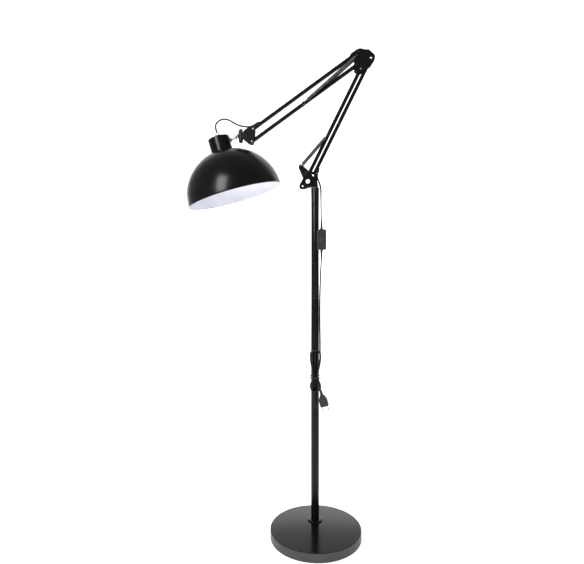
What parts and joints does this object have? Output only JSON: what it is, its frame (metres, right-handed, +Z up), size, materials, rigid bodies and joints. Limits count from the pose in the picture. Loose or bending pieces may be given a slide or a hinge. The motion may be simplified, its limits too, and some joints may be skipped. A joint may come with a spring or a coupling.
{
  "type": "adjustable arm floor lamp",
  "caption": "Floor lamp with a round weighted base, a straight pole, sprung parallelogram arms and a tilting dome shade; the supply lead hangs in a tied hank.",
  "frame": {"origin": "on the floor, under the pole's axis, 44 mm behind the centre of the base", "axes": "+Z up along the pole; the arms lie in the XZ plane and the shade is towards -X; +Y is away from a viewer who has the shade on the left"},
  "size_m": [0.5884, 0.3494, 1.5006],
  "materials": {
    "black_enamel": "satin black enamel",
    "chromed_steel": "bright chrome",
    "zinc_steel": "bright zinc",
    "spring_steel": "dark oiled wire",
    "grey_iron": "raw casting",
    "foot_rubber": "matte",
    "black_plastic": "fine matte",
    "gloss_plastic": "semi-gloss",
    "cord_pvc": "smooth flexible PVC",
    "brass": "bright",
    "aluminium": "rolled",
    "frosted_glass": "frosted"
  },
  "bodies": {
    "stand": {"base_pad": "foot_rubber", "base_weight": "grey_iron", "base_cover": "black_enamel", "base_fixings": "zinc_steel", "pole_foot": "black_enamel", "pole_tubes": "black_enamel", "pole_joiners": "zinc_steel", "pole_top_bush": "black_plastic", "switch_shells": "black_plastic", "switch_screws": "zinc_steel", "supply_cord": "cord_pvc", "cord_hank": "cord_pvc", "twist_tie": "black_plastic", "plug_body": "black_plastic", "plug_pins": "chromed_steel"},
    "switch_rocker": {"switch_rocker": "gloss_plastic"},
    "swivel": {"arm_bracket": "black_enamel", "swivel_pin": "zinc_steel", "bracket_rivets": "chromed_steel", "horn_bolts": "chromed_steel", "spring_horns": "black_enamel", "pole_cord_swivel": "cord_pvc"},
    "lower_rear_arm": {"lower_rear_tube": "black_enamel", "lower_arm_grommets": "black_plastic", "lower_arm_cord": "cord_pvc", "pole_cord_tilt": "cord_pvc"},
    "lower_front_arm": {"lower_front_tube": "black_enamel", "lower_spring_pin": "zinc_steel"},
    "lower_springs": {"lower_springs": "spring_steel"},
    "lower_spring_ends": {"lower_spring_links": "zinc_steel"},
    "elbow": {"elbow_plates": "black_enamel", "elbow_rivets": "chromed_steel", "elbow_spring_pin": "zinc_steel", "elbow_cord_lower": "cord_pvc"},
    "upper_top_arm": {"upper_top_tube": "black_enamel", "upper_arm_grommets": "black_plastic", "upper_arm_cord": "cord_pvc", "elbow_cord_upper": "cord_pvc", "head_cord_arm": "cord_pvc"},
    "upper_bottom_arm": {"upper_bottom_tube": "black_enamel", "upper_spring_pin": "zinc_steel"},
    "upper_springs": {"upper_springs": "spring_steel"},
    "upper_spring_ends": {"upper_spring_links": "zinc_steel"},
    "head_bracket": {"head_bracket": "black_enamel", "head_rivets": "chromed_steel", "head_cord_swivel": "cord_pvc"},
    "head_bolt": {"swivel_bolt": "zinc_steel", "clamp_washers": "zinc_steel"},
    "clamp_knob": {"clamp_knob": "gloss_plastic"},
    "head": {"head_rod": "chromed_steel", "rod_fixings": "chromed_steel", "neck_housing": "black_enamel", "cord_gland": "zinc_steel", "holder_body": "black_plastic", "holder_contacts": "brass", "holder_ring": "black_plastic", "shade_shell": "black_enamel", "bulb_cap": "aluminium", "bulb_globe": "frosted_glass", "head_cord_tilt": "cord_pvc"}
  },
  "joints": [
    {"name": "arm_swivel", "type": "hinge", "parent": "stand", "child": "swivel", "pos_m": [0, 0, 1.063], "axis": [0, 0, 1], "range_deg": [-120, 120], "deforming": ["pole_cord_swivel"]},
    {"name": "lower_arm_tilt", "type": "hinge", "parent": "swivel", "child": "lower_rear_arm", "pos_m": [-0.0055, 0, 1.102], "axis": [0, 1, 0], "range_deg": [-25, 3.5], "deforming": ["pole_cord_tilt"]},
    {"name": "lower_front_tilt", "type": "hinge", "parent": "swivel", "child": "lower_front_arm", "pos_m": [-0.038, 0, 1.069], "axis": [0, 1, 0], "range_deg": [-25, 3.5]},
    {"name": "elbow_level", "type": "hinge", "parent": "lower_rear_arm", "child": "elbow", "pos_m": [0.17463, 0, 1.46808], "axis": [0, 1, 0], "range_deg": [-3.5, 25], "deforming": ["elbow_cord_lower"]},
    {"name": "upper_arm_tilt", "type": "hinge", "parent": "elbow", "child": "upper_top_arm", "pos_m": [0.13603, 0, 1.48848], "axis": [0, 1, 0], "range_deg": [-12, 45], "deforming": ["elbow_cord_upper"]},
    {"name": "upper_bottom_tilt", "type": "hinge", "parent": "elbow", "child": "upper_bottom_arm", "pos_m": [0.13203, 0, 1.44898], "axis": [0, 1, 0], "range_deg": [-12, 45]},
    {"name": "head_level", "type": "hinge", "parent": "upper_top_arm", "child": "head_bracket", "pos_m": [-0.1932, 0, 1.24751], "axis": [0, 1, 0], "range_deg": [-45, 12], "deforming": ["head_cord_arm"]},
    {"name": "head_swivel", "type": "hinge", "parent": "head_bracket", "child": "head_bolt", "pos_m": [-0.2425, 0, 1.226], "axis": [1, 0, 0], "range_deg": [-75, 75], "deforming": ["head_cord_swivel"]},
    {"name": "head_tilt", "type": "hinge", "parent": "head_bolt", "child": "head", "pos_m": [-0.2425, 0, 1.226], "axis": [0, 1, 0], "range_deg": [-20, 75], "deforming": ["head_cord_tilt"]},
    {"name": "clamp_knob_turn", "type": "hinge", "parent": "head_bolt", "child": "clamp_knob", "pos_m": [-0.23, 0, 1.226], "axis": [1, 0, 0], "range_deg": [0, 180]},
    {"name": "lower_spring_swing", "type": "hinge", "parent": "swivel", "child": "lower_springs", "pos_m": [-0.0453, 0, 1.13], "axis": [0, 1, 0], "range_deg": [-36, 6], "deforming": ["lower_springs"]},
    {"name": "lower_spring_stretch", "type": "slide", "parent": "lower_springs", "child": "lower_spring_ends", "axis": [0.6535, 0, 0.7569], "range_m": [-0.016, 0.003], "deforming": ["lower_spring_links"]},
    {"name": "upper_spring_swing", "type": "hinge", "parent": "elbow", "child": "upper_springs", "pos_m": [0.13133, 0, 1.47598], "axis": [0, 1, 0], "range_deg": [-12, 44], "deforming": ["upper_springs"]},
    {"name": "upper_spring_stretch", "type": "slide", "parent": "upper_springs", "child": "upper_spring_ends", "axis": [-0.7449, 0, -0.6672], "range_m": [-0.02, 0.006], "deforming": ["upper_spring_links"]},
    {"name": "switch_press", "type": "hinge", "parent": "stand", "child": "switch_rocker", "pos_m": [0.019, -0.0275, 0.902], "axis": [1, 0, 0], "range_deg": [0, 14]}
  ],
  "couplings": [
    {"joint": "lower_front_tilt", "follows": "lower_arm_tilt", "ratio": 1},
    {"joint": "elbow_level", "follows": "lower_arm_tilt", "ratio": -1},
    {"joint": "upper_bottom_tilt", "follows": "upper_arm_tilt", "ratio": 1},
    {"joint": "head_level", "follows": "upper_arm_tilt", "ratio": -1},
    {"joint": "lower_spring_swing", "follows": "lower_arm_tilt", "ratio": 1.4},
    {"joint": "lower_spring_stretch", "follows": "lower_arm_tilt", "m_per_rad": 0.033},
    {"joint": "upper_spring_swing", "follows": "upper_arm_tilt", "ratio": 0.95},
    {"joint": "upper_spring_stretch", "follows": "upper_arm_tilt", "m_per_rad": -0.024}
  ]
}
